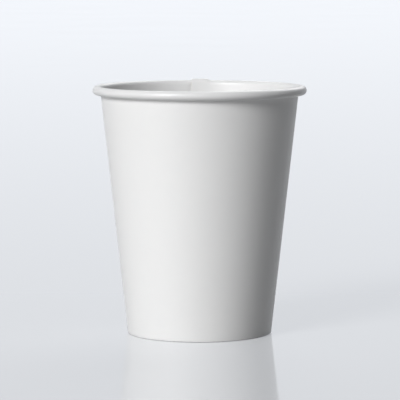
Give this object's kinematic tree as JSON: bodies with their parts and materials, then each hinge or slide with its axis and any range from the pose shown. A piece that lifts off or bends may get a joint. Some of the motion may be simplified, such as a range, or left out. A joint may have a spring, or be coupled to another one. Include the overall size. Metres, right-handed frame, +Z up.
{
  "type": "paper coffee cup",
  "caption": "Plain white single-wall paper cup for hot drinks, tapering to a hemmed base, with a rolled rim and a lapped side seam.",
  "frame": {"origin": "on the cup's axis, in the plane of the foot that it stands on", "axes": "+Z up along the cup's axis towards the rim; +Y towards the side seam; X across the seam"},
  "size_m": [0.08, 0.0804, 0.0932],
  "materials": {
    "wall_board": "satin",
    "bottom_board": "satin"
  },
  "bodies": {
    "root": {"sidewall": "wall_board", "bottom": "bottom_board"}
  },
  "joints": []
}
